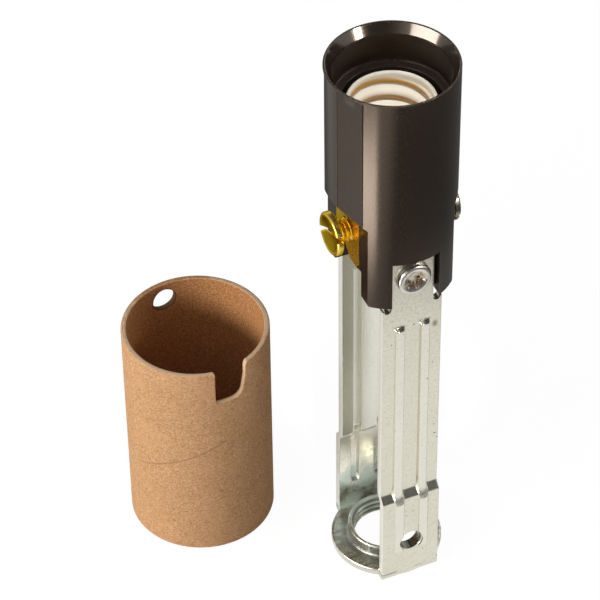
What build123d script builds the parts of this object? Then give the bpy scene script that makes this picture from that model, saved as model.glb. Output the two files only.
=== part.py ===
from build123d import *

import os
from math import cos, radians, sin, tan

# Candelabra lamp holder on a folded strap bracket, with its card insulating sleeve standing beside it.
# Millimetres. The origin is the centre of the bracket's threaded ring, on the face that the ring rests on.
# +Z runs up the socket's axis. The bracket's legs stand at -Y and +Y, the brass terminal faces -X.

# Bracket: one strip of plated steel, folded up from a round base
sheet = 1.2                # thickness of the strip
strip_width = 9.0          # width of each leg
leg_span = 16.44           # over the outer faces of the legs at the foot
joggle = 0.92              # how far each leg steps in towards the socket
joggle_bottom = 16.0       # height at which the step starts
joggle_rise = 1.1          # height of the sloped part of the step
fold_outside = 0.5         # radius on the outside of the folds at the base
fold_inside = 0.4          # radius in the corner of the folds
base_diameter = 16.4       # round base between the legs
nipple_bore = 9.5          # minor diameter of the pipe thread in the ring
collar_wall = 0.95         # wall of the drawn ring at its top
collar_height = 3.2        # top of the drawn ring above the base's lower face
collar_foot = 0.9          # reach of the hollow where the ring is drawn out of the base
shoulder_height = 53.3     # where a leg narrows to its tongue
tongue_width = 6.3
shoulder_relief = 0.55     # radius of the cut beside the foot of a tongue
lock_hole = 3.3            # tapped hole for the screw that locks the nipple
lock_height = 7.0
lock_lip = 0.45            # how far the drawn lip of that hole stands inwards
lock_lip_wall = 0.5

# Stiffening ribs, two pressed into each leg
rib_spacing = 3.8          # between the centre lines of a leg's two ribs
rib_width = 1.7
rib_height = 0.55          # how far a rib stands out above the joggle
rib_height_low = 0.35      # the same, below the joggle
rib_top = 49.4
rib_run_in = 20.0          # height at which a rib starts to lean out over the joggle
rib_overlap_height = 15.3  # height at which the upper rib ends in a lip
rib_bottom = 5.0
rib_nose = 0.35            # half the length over which a rib rises from the sheet
groove_width = 1.1         # the rib's hollow on the inside of the leg
groove_depth = 0.35

# Moulded socket body
body_diameter = 18.2
body_height = 35.4
skirt_gap = 1.2            # from a leg's shoulders up to the bottom of the body
lip_width = 0.3            # flat rim at the mouth
mouth_diameter = 16.0
mouth_chamfer = 1.45       # height of the cone inside the rim
ledge_depth = 5.9          # from the rim down to the ledge above the shell
bore_clearance = 0.25      # around the screw shell
cavity_depth = 20.4        # from the rim down to the floor of the cavity
floor_thickness = 10.3     # from the floor of the cavity down to the wiring channel
channel_width = 8.8        # between the two lobes under the floor
flat_span = 12.8           # over the two terminal flats
flat_top_drop = 1.4        # from the cavity's floor down to the top of the flats
roof_slope = 35            # degrees that the roof over a flat rises outwards
side_facet_from = 13       # degrees from -X: two narrow facets beside the brass terminal
side_facet_to = 40
facet_drop = 0.4           # from the rim down to the top of the facets
notch_clearance = 0.42     # beside and above a tongue
notch_above_rivet = 1.7    # from a leg rivet's head up to the notch's top
pocket_clearance = 0.1     # around a terminal strap
lobe_corner = 0.45
sink_clearance = 0.2       # around the set ends of the leg rivets, where they reach up into the floor

# Screw shell
shell_wall = 0.4           # beyond the thread's major diameter, and of the floor
shell_thread = 12.1        # major diameter inside the shell
thread_pitch = 2.54
thread_depth = 0.6
shell_rim_drop = 0.15      # from the ledge down to the rim of the shell
thread_width = 1.9         # width of the thread's groove at its minor diameter
thread_overlap = 0.1       # how far the groove's section starts inside the shell's bore
shell_turns = 2.8
thread_start = 4.4         # from the cavity's floor up to the start of the thread
key_hole = 6.0             # opening in the shell's floor, round the centre contact
key_hole_offset = 2.1

# Terminal straps and screws
strap_thickness = 0.7
strap_plate_width = 7.3
strap_taper_high = 3.6     # where the long taper of the plate starts, above the channel's roof
strap_taper_low = 2.2      # the same for the short one
strap_tail_width = 2.4
strap_tail_offset = 1.8    # from the middle of the plate to the middle of its tail
strap_bend = 0.45          # outside radius of the bend
strap_run_in = 1.6         # straight part of the tail behind the bend
eye_radius = 1.3
eye_offset = 2.0           # from the axis to the rivets through the floor
screw_diameter = 3.5
screw_length = 3.0         # under the head
screw_head = 6.3
screw_head_height = 0.95
screw_head_ease = 0.35     # bevel round the head
screw_gap = 1.9            # from the plate to the head, backed out
screw_height = 4.3         # from the wiring channel's roof up to the screws
screw_clearance = 0.05     # radial, in the strap's tapped hole
screw_hole_spare = 0.3     # depth of the hole in the moulding behind a screw that is run in
screw_slot = 0.9
screw_slot_depth = 0.55
screw_slot_turn = 20       # degrees

# Rivets, contact and insulation
rivet_diameter = 3.0       # shank of the two rivets that hold the legs
rivet_head = 5.0
rivet_head_height = 0.85
rivet_crown = 4.0          # flat top of the coned head
rivet_star = 2.7           # over the points of the star-shaped recess
rivet_star_inner = 1.9     # between its inner corners
rivet_star_depth = 1.8
rivet_points = 6
rivet_tail = 4.6
rivet_tail_height = 0.45
rivet_height = 3.8         # from the bottom of the body to the rivets
floor_rivet_diameter = 1.6
floor_rivet_head = 2.0
floor_rivet_head_height = 0.45
hole_clearance = 0.05      # radial, round every rivet
washer_diameter = 5.6
washer_thickness = 0.5
contact_thickness = 0.35
contact_width = 2.4
contact_heel = 1.3         # base of the contact behind its rivet
contact_base = 1.4         # base of the contact in front of its rivet
contact_rise = 3.0         # height of the spring leaf over its base
contact_tip = 1.3          # length of the bent-down tip
contact_tip_lean = 35      # degrees that it leans down
contact_bend = 0.4

# Card sleeve
sleeve_clearance = 0.8     # radial, over the socket body
sleeve_wall = 0.85
sleeve_height = 35.7
sleeve_x = -21.9
sleeve_y = 18.7
sleeve_turn = 5.5          # degrees that the sleeve is turned from the legs' direction
sleeve_slot = 4.9
sleeve_slot_depth = 6.0
sleeve_slot_corner = 1.6   # round lower corner; the other one is sharp
sleeve_slot_taper = 0.5
sleeve_hole = 3.6
sleeve_hole_drop = 2.9     # from the top edge to the centre of the hole

# Heights and planes that follow from the sizes above
foot_y = leg_span / 2
leg_y = foot_y - joggle
seat_y = leg_y - sheet
joggle_top = joggle_bottom + joggle_rise
body_bottom = shoulder_height + skirt_gap
body_top = body_bottom + body_height
body_r = body_diameter / 2
cavity_floor = body_top - cavity_depth
channel_roof = cavity_floor - floor_thickness
ledge_z = body_top - ledge_depth
flat_x = flat_span / 2
flat_top = cavity_floor - flat_top_drop
rivet_z = body_bottom + rivet_height
notch_top = rivet_z + rivet_head / 2 + notch_above_rivet
tongue_top = notch_top - notch_clearance
screw_z = channel_roof + screw_height
shell_r_in = shell_thread / 2 - thread_depth
shell_r_out = shell_thread / 2 + shell_wall
bore_r = shell_r_out + bore_clearance
shell_rim = ledge_z - shell_rim_drop
reach = 2 * body_top       # longer than anything that is cut


def box(x0, x1, y0, y1, z0, z1):
    """A box between two corners."""
    return Pos((x0 + x1) / 2, (y0 + y1) / 2, (z0 + z1) / 2) * Box(x1 - x0, y1 - y0, z1 - z0)


def rod(start, end, radius):
    """A round bar from one point to another."""
    start, end = Vector(*start), Vector(*end)
    plane = Plane(origin=start, z_dir=end - start)
    return plane * Cylinder(radius, (end - start).length, align=(Align.CENTER, Align.CENTER, Align.MIN))


def bead(points, width, height):
    """A flat-topped ridge along points on a face that looks towards -Y: it stands out by its height."""
    path = Polyline(points)
    plane = Plane(origin=points[0], x_dir=(1, 0, 0), z_dir=path % 0)
    if plane.y_dir.Y > 0:
        plane = Plane(origin=points[0], x_dir=(-1, 0, 0), z_dir=path % 0)
    foot, crown = width / 2, width / 4
    section = Polyline((-foot, -sheet / 4), (foot, -sheet / 4), (foot, 0), (crown, height), (-crown, height),
                       (-foot, 0), close=True)
    return sweep(plane * make_face(section), path=path, transition=Transition.RIGHT)


def turned(points):
    """A solid turned about the socket's axis from (radius, height) points."""
    outline = Plane.XZ * make_face(Polyline(points, close=True))
    return revolve(outline, Axis.Z)


def leg():
    """One leg at -Y: the joggled strip with its tongue, before ribs and holes."""
    side = Polyline(
        (-foot_y, 0),
        (-foot_y, joggle_bottom),
        (-leg_y, joggle_top),
        (-leg_y, tongue_top),
        (-seat_y, tongue_top),
        (-seat_y, joggle_top),
        (-foot_y + sheet, joggle_bottom),
        (-foot_y + sheet, 0),
        close=True,
    )
    strip = extrude(Plane.YZ * make_face(side), amount=strip_width / 2, both=True)
    for way in (-1, 1):
        edge_in, edge_out = sorted((way * tongue_width / 2, way * strip_width))
        strip -= box(edge_in, edge_out, -reach, 0, shoulder_height, reach)
        corner = way * (tongue_width / 2 + shoulder_relief)
        strip -= rod((corner, -reach, shoulder_height), (corner, 0, shoulder_height), shoulder_relief)
    return strip


def ribs():
    """Returns the two ribs that the leg at -Y has outside, and the hollows that they leave inside."""
    leg_in, foot_in = -seat_y, -foot_y + sheet
    added, cut = [], []
    for x in (-rib_spacing / 2, rib_spacing / 2):
        # Each ridge dives through the face of the sheet at its ends, which gives the pressed rib its nose.
        added.append(bead([
            (x, -leg_y + rib_height, rib_top + rib_nose), (x, -leg_y, rib_top - rib_nose),
            (x, -leg_y, rib_run_in), (x, -foot_y, rib_overlap_height),
        ], rib_width, rib_height))
        added.append(bead([
            (x, -foot_y, rib_overlap_height + rib_nose), (x, -foot_y, rib_bottom + rib_nose),
            (x, -foot_y + rib_height_low, rib_bottom - rib_nose),
        ], rib_width, rib_height_low))
        cut.append(bead([
            (x, leg_in + groove_depth, rib_top + rib_nose), (x, leg_in, rib_top - rib_nose),
            (x, leg_in, rib_run_in), (x, foot_in, joggle_bottom), (x, foot_in, rib_bottom + rib_nose),
            (x, foot_in + groove_depth, rib_bottom - rib_nose),
        ], groove_width, groove_depth))
    return added, cut


def bracket():
    """The folded strap bracket: round base with its drawn ring, and two ribbed legs."""
    plain = leg()
    added, cut = ribs()
    ribbed = plain
    for bar in added:
        ribbed += bar
    for bar in cut:
        ribbed -= bar
    base = Pos(0, 0, sheet / 2) * Cylinder(base_diameter / 2, sheet)
    base += box(-strip_width / 2, strip_width / 2, -foot_y, foot_y, 0, sheet)
    folded = base + ribbed + ribbed.mirror(Plane.XZ)
    outer = folded.edges().filter_by(Axis.X).group_by(Axis.Z)[0]
    folded = fillet(outer.sort_by(Axis.Y)[0:1] + outer.sort_by(Axis.Y)[-1:], fold_outside)
    corner_y = foot_y - sheet
    inner = [e for e in folded.edges().filter_by(Axis.X)
             if abs(e.center().Z - sheet) < 0.01 and abs(abs(e.center().Y) - corner_y) < 0.01]
    folded = fillet(inner, fold_inside)
    bore_radius = nipple_bore / 2
    top_r = bore_radius + collar_wall
    foot = top_r + collar_foot
    ring = turned([
        (bore_radius, 0), (bore_radius, collar_height), (top_r, collar_height), (top_r, sheet + collar_foot),
        (foot, sheet), (foot, 0),
    ])
    folded = folded - rod((0, 0, 0), (0, 0, reach), foot - collar_foot / 2) + ring
    lip_y = foot_y - sheet - lock_lip
    lock_r = lock_hole / 2
    folded += rod((0, -foot_y + sheet / 2, lock_height), (0, -lip_y, lock_height), lock_r + lock_lip_wall)
    folded -= rod((0, -reach, lock_height), (0, 0, lock_height), lock_r)
    return folded - rod((0, -reach, rivet_z), (0, reach, rivet_z), rivet_diameter / 2 + hole_clearance)


def terminal_cuts():
    """What the terminal at +X takes out of the moulding: flat, lobe corner, strap pocket and screw hole."""
    rise = (reach - flat_x) * tan(radians(roof_slope))
    side = Polyline((flat_x, 0), (flat_x, flat_top), (reach, flat_top + rise), (reach, 0), close=True)
    cut = extrude(Plane.XZ * make_face(side), amount=reach, both=True)
    half = strap_plate_width / 2 + pocket_clearance
    depth = flat_x - strap_thickness
    cut += box(depth, reach, -half, half, 0, flat_top)
    edge, round_z = flat_x - lobe_corner, body_bottom + lobe_corner
    corner = box(edge, flat_x, -reach, reach, 0, round_z)
    cut += corner - rod((edge, -reach, round_z), (edge, reach, round_z), lobe_corner)
    hole_end = flat_x - screw_length - screw_hole_spare
    cut += rod((hole_end, 0, screw_z), (reach, 0, screw_z), screw_diameter / 2 + 2 * hole_clearance)
    return cut


def socket_body():
    """The moulded body: a barrel with a stepped cavity, terminal flats and two lobes between the legs."""
    upwards = (Align.CENTER, Align.CENTER, Align.MIN)
    barrel = Pos(0, 0, body_bottom) * Cylinder(body_r, body_height, align=upwards)
    cavity = turned([
        (0, cavity_floor), (bore_r, cavity_floor), (bore_r, ledge_z), (mouth_diameter / 2, ledge_z),
        (mouth_diameter / 2, body_top - mouth_chamfer), (body_r - lip_width, body_top), (0, body_top),
    ])
    body = barrel - cavity
    terminal = terminal_cuts()
    body -= terminal
    body -= terminal.rotate(Axis.Z, 180)
    half = channel_width / 2
    body -= box(-reach, reach, -half, half, 0, channel_roof)
    notch = tongue_width / 2 + notch_clearance
    for way in (-1, 1):
        y0, y1 = sorted((way * seat_y, way * reach))
        body -= box(-notch, notch, y0, y1, 0, notch_top)
    shank = rivet_diameter / 2 + hole_clearance
    body -= rod((0, -reach, rivet_z), (0, reach, rivet_z), shank)
    sink_end = half - rivet_tail_height - sink_clearance
    sink = rivet_tail / 2 + sink_clearance
    for way in (-1, 1):
        body -= rod((0, way * sink_end, rivet_z), (0, way * half, rivet_z), sink)
    for x in (-eye_offset, eye_offset):
        body -= rod((x, 0, 0), (x, 0, reach), floor_rivet_diameter / 2 + hole_clearance)
    # Two narrow facets beside the brass terminal, one each side of it.
    middle = (side_facet_from + side_facet_to) / 2
    chord = body_r * cos(radians((side_facet_to - side_facet_from) / 2))
    for way in (-1, 1):
        slab = Pos(-chord - reach / 2, 0, 0) * Box(reach, body_r, 2 * reach)
        slab = slab.rotate(Axis.Z, way * middle)
        body -= slab & box(-reach, 0, -reach, reach, body_bottom, body_top - facet_drop)
    return body


def thread_groove():
    """The V-shaped thread that is rolled into the inside of the shell, as a bar wound into a helix."""
    start = cavity_floor + thread_start
    inner_r = shell_r_in - thread_overlap
    path = Pos(0, 0, start) * Helix(pitch=thread_pitch, height=shell_turns * thread_pitch, radius=inner_r)
    half = thread_width / 2
    section = Polyline((0, -half), (thread_depth + thread_overlap, 0), (0, half), close=True)
    plane = Plane(origin=path @ 0, x_dir=(1, 0, 0), z_dir=path % 0)
    return sweep(plane * make_face(section), path=path, is_frenet=True)


def screw_shell():
    """The screw shell: a tube with the lamp's thread inside and a floor that is riveted down."""
    floor_top = cavity_floor + shell_wall
    shell = turned([
        (0, cavity_floor), (shell_r_out, cavity_floor), (shell_r_out, shell_rim),
        (shell_r_out - shell_wall, shell_rim), (shell_r_in, shell_rim - shell_wall),
        (shell_r_in, floor_top), (0, floor_top),
    ])
    shell -= thread_groove()
    shell -= Pos(-key_hole_offset, 0, cavity_floor) * Cylinder(key_hole / 2, 3 * shell_wall)
    return shell - rod((eye_offset, 0, 0), (eye_offset, 0, reach), floor_rivet_diameter / 2 + hole_clearance)


def strap():
    """A terminal strap at +X: a tapped plate on the flat, and a tail bent in under the floor."""
    half = strap_plate_width / 2
    tail_in = strap_tail_offset - strap_tail_width / 2
    tail_out = strap_tail_offset + strap_tail_width / 2
    bottom = channel_roof - strap_thickness
    plate = Polyline(
        (-half, flat_top - pocket_clearance), (-half, channel_roof + strap_taper_high),
        (tail_in, channel_roof), (tail_in, bottom), (tail_out, bottom), (tail_out, channel_roof),
        (half, channel_roof + strap_taper_low), (half, flat_top - pocket_clearance), close=True,
    )
    back = flat_x - strap_thickness
    solid = extrude(Plane((back, 0, 0), x_dir=(0, 1, 0), z_dir=(1, 0, 0)) * make_face(plate), strap_thickness)
    run_in = flat_x - strap_run_in
    tail = Polyline((flat_x, tail_in), (flat_x, tail_out), (run_in, tail_out), (eye_offset, eye_radius),
                    (eye_offset, -eye_radius), (run_in, tail_in), close=True)
    outline = make_face(tail) + Pos(eye_offset, 0) * Circle(eye_radius)
    solid += extrude(Plane.XY.offset(bottom) * outline, strap_thickness)
    bend = [e for e in solid.edges().filter_by(Axis.Y)
            if abs(e.center().Z - bottom) < 0.01 and abs(e.center().X - flat_x) < 0.01]
    solid = fillet(bend, strap_bend)
    solid -= rod((0, 0, screw_z), (reach, 0, screw_z), screw_diameter / 2 + screw_clearance)
    return solid - rod((eye_offset, 0, 0), (eye_offset, 0, reach), floor_rivet_diameter / 2 + hole_clearance)


def terminal_screw():
    """A binding-head screw at +X, backed out of its strap: bevelled head, slot and shank."""
    under = flat_x + screw_gap
    top = under + screw_head_height
    radius = screw_head / 2
    outline = Polyline((under, 0), (under, radius), (top - screw_head_ease, radius),
                       (top, radius - screw_head_ease), (top, 0), close=True)
    head = revolve(Plane.XZ * make_face(outline), Axis.X)
    slot = Box(screw_slot_depth * 2, reach, screw_slot)
    head -= Pos(top, 0, 0) * Rot(screw_slot_turn, 0, 0) * slot
    solid = head + rod((under - screw_length, 0, 0), (under, 0, 0), screw_diameter / 2)
    return Pos(0, 0, screw_z) * solid


def rivet_outline(stations):
    """A rivet turned about Z from its (radius, height) stations, listed from the tail up to the head."""
    low, high = stations[0][1], stations[-1][1]
    return turned([(0, low)] + stations + [(0, high)])


def leg_rivet():
    """A rivet at -Y: coned head with a star-shaped recess, shank, and the flange set inside the channel."""
    head_r, tail_r, shank_r = rivet_head / 2, rivet_tail / 2, rivet_diameter / 2
    inside, top = channel_width / 2, leg_y + rivet_head_height
    rivet = rivet_outline([
        (tail_r, inside - rivet_tail_height), (tail_r, inside), (shank_r, inside), (shank_r, leg_y),
        (head_r, leg_y), (rivet_crown / 2, top),
    ])
    tips = PolarLocations(rivet_star / 2, rivet_points)
    corners = PolarLocations(rivet_star_inner / 2, rivet_points, start_angle=180 / rivet_points)
    star = [place.position for pair in zip(tips, corners) for place in pair]
    rivet -= extrude(Plane.XY.offset(top) * make_face(Polyline(star, close=True)), -rivet_star_depth)
    return Pos(0, 0, rivet_z) * Rot(90, 0, 0) * rivet


def floor_rivet(x, head_seat):
    """A rivet through the cavity's floor that holds a strap below it and a contact piece above it."""
    head_r, shank_r = floor_rivet_head / 2, floor_rivet_diameter / 2
    below, top = channel_roof - strap_thickness, head_seat + floor_rivet_head_height
    ease = floor_rivet_head_height / 2
    return Pos(x, 0, 0) * rivet_outline([
        (head_r - ease, below - floor_rivet_head_height), (head_r, below), (shank_r, below),
        (shank_r, head_seat), (head_r, head_seat), (head_r - ease, top),
    ])


def centre_contact():
    """The spring leaf under the lamp's tip: riveted base, rising leaf and bent-down tip in one strip."""
    base_z = cavity_floor + washer_thickness + contact_thickness / 2
    front = -eye_offset + contact_base
    top_z = base_z + contact_rise
    lean = radians(contact_tip_lean)
    path = FilletPolyline(
        (-eye_offset - contact_heel, base_z), (front, base_z), (0, top_z),
        (contact_tip * cos(lean), top_z - contact_tip * sin(lean)), radius=contact_bend,
    )
    strip = Plane.XZ * trace(path, line_width=contact_thickness)
    leaf = extrude(strip, amount=contact_width / 2, both=True)
    hole = floor_rivet_diameter / 2 + hole_clearance
    return leaf - rod((-eye_offset, 0, 0), (-eye_offset, 0, base_z + contact_thickness), hole)


def contact_washer():
    """The fibre washer that keeps the centre contact off the shell's floor."""
    washer = Cylinder(washer_diameter / 2, washer_thickness, align=(Align.CENTER, Align.CENTER, Align.MIN))
    washer = Pos(-key_hole_offset, 0, cavity_floor) * washer
    hole = floor_rivet_diameter / 2 + hole_clearance
    return washer - rod((-eye_offset, 0, 0), (-eye_offset, 0, reach), hole)


def insulating_sleeve():
    """The wound card tube that slips over the body, standing on its plain end beside the holder."""
    inner = body_r + sleeve_clearance
    outer = inner + sleeve_wall
    low = (Align.CENTER, Align.CENTER, Align.MIN)
    tube = Cylinder(outer, sleeve_height, align=low) - Cylinder(inner, sleeve_height, align=low)
    half, low_half = sleeve_slot / 2, sleeve_slot / 2 - sleeve_slot_taper
    bottom = sleeve_height - sleeve_slot_depth
    slot = make_face(Polyline((-half, reach), (-half, bottom), (low_half, bottom),
                              (half, bottom + sleeve_slot_depth / 2), (half, reach), close=True))
    slot = fillet(slot.vertices().group_by(Axis.Y)[0].sort_by(Axis.X)[-1], sleeve_slot_corner)
    tube -= extrude(Plane.XZ * slot, 2 * outer)
    hole_z = sleeve_height - sleeve_hole_drop
    tube -= rod((0, 0, hole_z), (0, 2 * outer, hole_z), sleeve_hole / 2)
    return Pos(sleeve_x, sleeve_y, 0) * tube.rotate(Axis.Z, sleeve_turn)


brass_strap, shell_strap = strap().rotate(Axis.Z, 180), strap()
front_rivet = leg_rivet()
contact_seat = cavity_floor + washer_thickness + contact_thickness
parts = {
    "bracket": bracket(),
    "front_leg_rivet": front_rivet,
    "back_leg_rivet": front_rivet.rotate(Axis.Z, 180),
    "socket_body": socket_body(),
    "screw_shell": screw_shell(),
    "shell_strap": shell_strap,
    "shell_rivet": floor_rivet(eye_offset, cavity_floor + shell_wall),
    "shell_terminal_screw": terminal_screw(),
    "contact_strap": brass_strap,
    "contact_washer": contact_washer(),
    "centre_contact": centre_contact(),
    "contact_rivet": floor_rivet(-eye_offset, contact_seat),
    "contact_terminal_screw": terminal_screw().rotate(Axis.Z, 180),
    "insulating_sleeve": insulating_sleeve(),
}
os.makedirs("parts", exist_ok=True)
for name, solid in parts.items():
    export_step(solid, f"parts/{name}.step")
    print(name, round(solid.volume, 1), "mm3")
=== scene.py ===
import math

import bmesh
import bpy
from mathutils import Matrix, Vector


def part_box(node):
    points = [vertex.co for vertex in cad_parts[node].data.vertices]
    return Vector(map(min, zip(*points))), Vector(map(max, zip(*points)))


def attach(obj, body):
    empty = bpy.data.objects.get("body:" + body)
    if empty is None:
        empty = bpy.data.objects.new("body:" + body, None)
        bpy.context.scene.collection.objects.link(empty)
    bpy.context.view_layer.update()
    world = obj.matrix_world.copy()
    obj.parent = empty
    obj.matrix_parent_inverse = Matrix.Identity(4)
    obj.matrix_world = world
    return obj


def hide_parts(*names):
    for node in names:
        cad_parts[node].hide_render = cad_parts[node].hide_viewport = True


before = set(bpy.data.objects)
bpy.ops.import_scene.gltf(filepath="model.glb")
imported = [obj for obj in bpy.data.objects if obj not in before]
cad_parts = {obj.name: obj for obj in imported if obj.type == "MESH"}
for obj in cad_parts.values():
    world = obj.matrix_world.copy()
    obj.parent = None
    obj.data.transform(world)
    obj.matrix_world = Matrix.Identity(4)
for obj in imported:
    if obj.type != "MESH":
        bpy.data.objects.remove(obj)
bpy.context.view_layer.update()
mm = 0.001

# Bracket: one strip of zinc-plated steel, folded up from a round base into two legs. Each leg is pressed with two
# ribs, steps in above the base and narrows to a tongue at its top. A ring is drawn up out of the base and
# threaded for the lamp pipe, and the front leg has a drawn hole for the screw that locks it.
sheet = 1.2 * mm
strip_half = 4.5 * mm
edge_round = 0.14 * mm
foot_y = 8.22 * mm
joggle = 0.92 * mm
joggle_z = 16.0 * mm
joggle_rise = 1.1 * mm
bend_ease = 0.10 * mm
fold_outside = 0.5 * mm
fold_inside = 0.4 * mm
rib_x = 1.9 * mm
rib_half = 0.87 * mm
rib_flat = 0.62
rib_height = 0.55 * mm
rib_height_low = 0.35 * mm
rib_top = 49.4 * mm
rib_run_in = 18.0 * mm
rib_lip = 15.3 * mm
rib_lip_curve = 0.45 * mm
rib_bottom = 5.0 * mm
nose = 0.22 * mm
nose_curve = 0.25 * mm
groove_half = 0.72 * mm
groove_depth = 0.55 * mm
groove_bottom = 6.0 * mm
shoulder_z = 53.3 * mm
tongue_half = 3.15 * mm
relief = 0.55 * mm
lock_z = 7.0 * mm
lock_r = 1.65 * mm
lock_wall = 0.45 * mm
lock_lip = 0.45 * mm
base_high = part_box("bracket")[1]
disc_r = base_high.x
leg_top = base_high.z
collar_top = 3.2 * mm
collar_r = 5.7 * mm
collar_foot = 0.55 * mm
nipple_r = 4.75 * mm
nipple_root = 5.12 * mm
nipple_pitch = 0.94 * mm
smudge_x, smudge_z = 3.5 * mm, 48.4 * mm


class Value:
    """A socket of a node tree. Sums and products of it add their Math nodes, so a pattern reads as a formula."""

    def __init__(self, tree, socket=None):
        self.tree, self.socket = tree, socket

    def node(self, kind, settings, sockets, out=0):
        """Adds any node: its settings first, then the value or the link of each socket that is named."""
        node = self.tree.nodes.new(kind)
        for name, value in settings.items():
            if name == "stops":
                ramp = node.color_ramp.elements
                for place, colour in value[1:-1]:
                    ramp.new(place)
                for element, (place, colour) in zip(ramp, value):
                    element.position, element.color = place, colour
            else:
                setattr(node, name, value)
        for name, value in sockets.items():
            if isinstance(value, Value):
                self.tree.links.new(value.socket, node.inputs[name])
            else:
                node.inputs[name].default_value = value
        return Value(self.tree, node.outputs[out])

    def maths(self, operation, first, second=0.0):
        return self.node("ShaderNodeMath", {"operation": operation}, {0: first, 1: second})

    def __add__(self, other):
        return self.maths("ADD", self, other)

    def __radd__(self, other):
        return self.maths("ADD", other, self)

    def __sub__(self, other):
        return self.maths("SUBTRACT", self, other)

    def __rsub__(self, other):
        return self.maths("SUBTRACT", other, self)

    def __mul__(self, other):
        return self.maths("MULTIPLY", self, other)

    def __rmul__(self, other):
        return self.maths("MULTIPLY", other, self)

    def __truediv__(self, other):
        return self.maths("DIVIDE", self, other)

    def __rtruediv__(self, other):
        return self.maths("DIVIDE", other, self)

    def fade(self, start, end):
        """0 where this value is at start, 1 at end, with a soft slope between."""
        return self.node("ShaderNodeMapRange", {"interpolation_type": "SMOOTHSTEP"},
                         {"Value": self, "From Min": start, "From Max": end})

    def mix(self, low, high):
        """A colour between two, by this value."""
        return self.node("ShaderNodeMix", {"data_type": "RGBA"}, {"Factor": self, 6: low, 7: high}, out=2)


def new_material(name):
    """A material with its shader's sockets and the piece's own coordinates, in metres."""
    material = bpy.data.materials.new(name)
    material.use_nodes = True
    tree = material.node_tree
    shader = tree.nodes["Principled BSDF"].inputs
    place = Value(tree).node("ShaderNodeTexCoord", {}, {}, out=3)
    return material, shader, place


def axes(place):
    """The three coordinates of a place, each as a value."""
    return [place.node("ShaderNodeSeparateXYZ", {}, {"Vector": place}, out=i) for i in range(3)]


def noise(place, grain, detail=2.0, roughness=0.5, stretch=(1, 1, 1)):
    """Noise from 0 to 1 whose grains are about that many metres across."""
    scaled = place.node("ShaderNodeVectorMath", {"operation": "MULTIPLY"},
                        {0: place, 1: [s / grain for s in stretch]})
    return place.node("ShaderNodeTexNoise", {},
                      {"Vector": scaled, "Scale": 1.0, "Detail": detail, "Roughness": roughness})


def feed(shader, **values):
    """Links or sets the shader's sockets, whose names have spaces for underscores."""
    for name, value in values.items():
        socket = shader[name.replace("_", " ")]
        if isinstance(value, Value):
            value.tree.links.new(value.socket, socket)
        else:
            socket.default_value = value


def bump(height, depth):
    """A normal from a height of 0 to 1 that stands for that many metres."""
    return height.node("ShaderNodeBump", {}, {"Height": height, "Distance": depth, "Strength": 1.0})


plating, shader, place = new_material("zinc_plating")
x, y, z = axes(place)
cloud = noise(place, 5 * mm, detail=3.0)
grain = noise(place, 0.35 * mm, detail=2.0)
drawn = noise(place, 0.25 * mm, stretch=(1, 1, 0.06))
smudge = x.maths("SQRT", (x - smudge_x) * (x - smudge_x) + (z - smudge_z) * (z - smudge_z) * 0.5)
smudge = smudge.fade(0.65 * mm, 0.1 * mm) * y.fade(-5 * mm, -6 * mm)
specks = noise(place, 0.5 * mm, detail=0.0).fade(0.80, 0.84) * noise(place, 8 * mm, detail=1.0).fade(0.45, 0.6)
steel = cloud.mix((0.72, 0.695, 0.58, 1), (0.84, 0.815, 0.69, 1))
steel = (grain.fade(0.45, 0.70) * 0.5).mix(steel, (0.66, 0.63, 0.49, 1))
# Painted highlight: the crowns of the ribs are painted paler than the rest of the plating.
crown = x.maths("ABSOLUTE", x.maths("ABSOLUTE", x) - rib_x).fade(rib_half * 0.85, rib_half * 0.7)
crown = crown * z.fade(rib_bottom, rib_bottom + 1 * mm)
steel = (crown * (1 - z.fade(rib_top - 0.5 * mm, rib_top)) * 0.45).mix(steel, (0.93, 0.91, 0.82, 1))
# Painted reflection: low on the far leg, patches are tinted green-blue and made less metallic, standing for a teal
# reflection there.
teal_reflection = z.fade(joggle_z, 4 * mm) * y.fade(-3 * mm, 3 * mm) * noise(place, 3 * mm, detail=2.0).fade(0.35, 0.6)
steel = (teal_reflection * 0.85).mix(steel, (0.72, 0.84, 0.74, 1))
steel = (specks * 0.8 + smudge * 0.75).mix(steel, (0.20, 0.16, 0.10, 1))
radius = x.maths("SQRT", x * x + y * y)
# Painted shade: the roots of the thread in the ring's bore are painted dark.
root_shade = radius.fade(nipple_root - 0.26 * mm, nipple_root - 0.04 * mm)
root_shade = root_shade * radius.fade(nipple_root + 0.08 * mm, nipple_root + 0.02 * mm)
root_shade = root_shade * z.fade(collar_top - 0.1 * mm, collar_top - 0.4 * mm)
steel = (root_shade * 0.85).mix(steel, (0.10, 0.09, 0.06, 1))
# Painted shade: the collar's wall and the base round its foot are painted dark in patches and made less metallic.
collar_shade = radius.fade(collar_r - 0.2 * mm, collar_r - 0.04 * mm) * radius.fade(collar_r + 1.7 * mm, collar_r + 0.4 * mm)
collar_shade = collar_shade * z.fade(sheet - 0.4 * mm, sheet - 0.2 * mm)
collar_shade = collar_shade * z.fade(collar_top - 0.08 * mm, collar_top - 0.25 * mm)
collar_shade = collar_shade * (0.6 + 0.4 * noise(place, 0.9 * mm, detail=3.0).fade(0.30, 0.55))
steel = (collar_shade * 0.85).mix(steel, (0.14, 0.15, 0.125, 1))
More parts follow.
